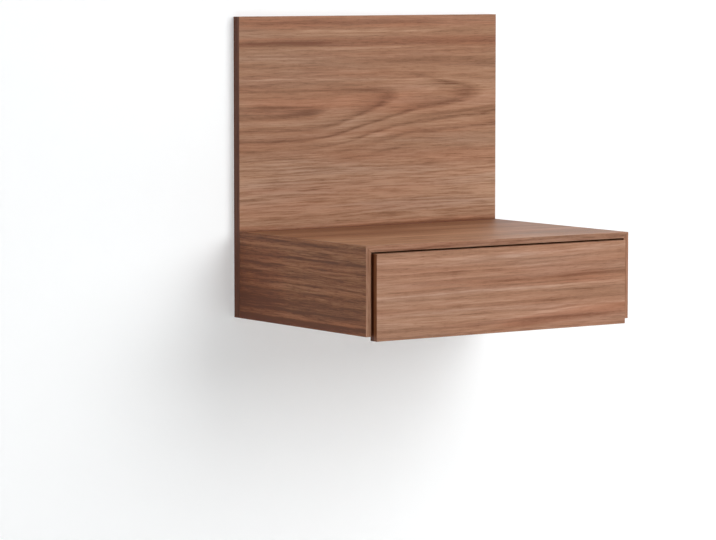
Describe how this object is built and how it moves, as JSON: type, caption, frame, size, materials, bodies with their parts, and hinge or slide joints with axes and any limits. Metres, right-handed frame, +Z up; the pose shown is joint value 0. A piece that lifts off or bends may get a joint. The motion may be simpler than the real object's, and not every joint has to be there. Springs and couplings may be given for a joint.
{
  "type": "floating nightstand",
  "caption": "Wall-hung nightstand: a tall back panel, a shallow shelf box and one drawer on telescopic slides, pulled by the lower edge of its front.",
  "frame": {"origin": "centre of the back panel's rear face, on the wall", "axes": "+Y into the wall, so the front faces -Y; +X to the right seen from the front; +Z up"},
  "size_m": [0.55, 0.408, 0.5255],
  "materials": {
    "walnut": "walnut veneer with a matt clear lacquer",
    "plywood": "lacquered birch plywood",
    "cleat": "mill-finish extrusion",
    "slide": "zinc plated",
    "cage": "bright steel, oiled",
    "screw": "zinc plated",
    "lever": "moulded, fine matt texture",
    "bumper": "soft, cloudy clear"
  },
  "bodies": {
    "cabinet": {"back_panel": "walnut", "wall_cleat": "cleat", "panel_cleat": "cleat", "cleat_screw_1": "screw", "cleat_screw_2": "screw", "cleat_screw_3": "screw", "cleat_screw_4": "screw", "panel_screw_1": "screw", "panel_screw_2": "screw", "panel_screw_3": "screw", "panel_screw_4": "screw", "panel_screw_5": "screw", "panel_screw_6": "screw", "top_board": "walnut", "side_left": "walnut", "side_right": "walnut", "bottom_board": "walnut", "inner_back": "walnut", "mitre_spline_left": "plywood", "mitre_spline_right": "plywood", "bumper_left": "bumper", "bumper_right": "bumper", "slide_cabinet_left": "slide", "slide_cabinet_right": "slide", "cabinet_slide_screw_left_front": "screw", "cabinet_slide_screw_left_rear": "screw", "cabinet_slide_screw_right_front": "screw", "cabinet_slide_screw_right_rear": "screw"},
    "drawer": {"drawer_front": "walnut", "drawer_subfront": "plywood", "drawer_back": "plywood", "drawer_bottom": "plywood", "drawer_side_left": "plywood", "drawer_side_right": "plywood", "front_screw_1": "screw", "front_screw_2": "screw", "front_screw_3": "screw", "front_screw_4": "screw", "slide_drawer_left": "slide", "slide_drawer_right": "slide", "drawer_slide_screw_left_front": "screw", "drawer_slide_screw_left_rear": "screw", "drawer_slide_screw_right_front": "screw", "drawer_slide_screw_right_rear": "screw"},
    "slide_middles": {"slide_middle_left": "slide", "slide_middle_right": "slide"},
    "outer_cages": {"outer_ball_cage_left": "cage", "outer_ball_cage_right": "cage"},
    "inner_cages": {"inner_ball_cage_left": "cage", "inner_ball_cage_right": "cage"},
    "lever_left": {"release_lever_left": "lever"},
    "lever_right": {"release_lever_right": "lever"}
  },
  "joints": [
    {"name": "drawer_slide", "type": "slide", "parent": "cabinet", "child": "drawer", "axis": [0, -1, 0], "range_m": [0, 0.35]},
    {"name": "middle_slide", "type": "slide", "parent": "cabinet", "child": "slide_middles", "axis": [0, -1, 0], "range_m": [0, 0.175]},
    {"name": "outer_cage_slide", "type": "slide", "parent": "cabinet", "child": "outer_cages", "axis": [0, -1, 0], "range_m": [0, 0.0875]},
    {"name": "inner_cage_slide", "type": "slide", "parent": "cabinet", "child": "inner_cages", "axis": [0, -1, 0], "range_m": [0, 0.2625]},
    {"name": "lever_left_turn", "type": "hinge", "parent": "drawer", "child": "lever_left", "pos_m": [-0.2548, -0.234, -0.201], "axis": [1, 0, 0], "range_deg": [0, 10], "stiffness_Nm_per_rad": 0.01},
    {"name": "lever_right_turn", "type": "hinge", "parent": "drawer", "child": "lever_right", "pos_m": [0.2548, -0.234, -0.201], "axis": [-1, 0, 0], "range_deg": [0, 10], "stiffness_Nm_per_rad": 0.01}
  ],
  "couplings": [
    {"joint": "middle_slide", "follows": "drawer_slide", "ratio": 0.5},
    {"joint": "outer_cage_slide", "follows": "drawer_slide", "ratio": 0.25},
    {"joint": "inner_cage_slide", "follows": "drawer_slide", "ratio": 0.75}
  ]
}
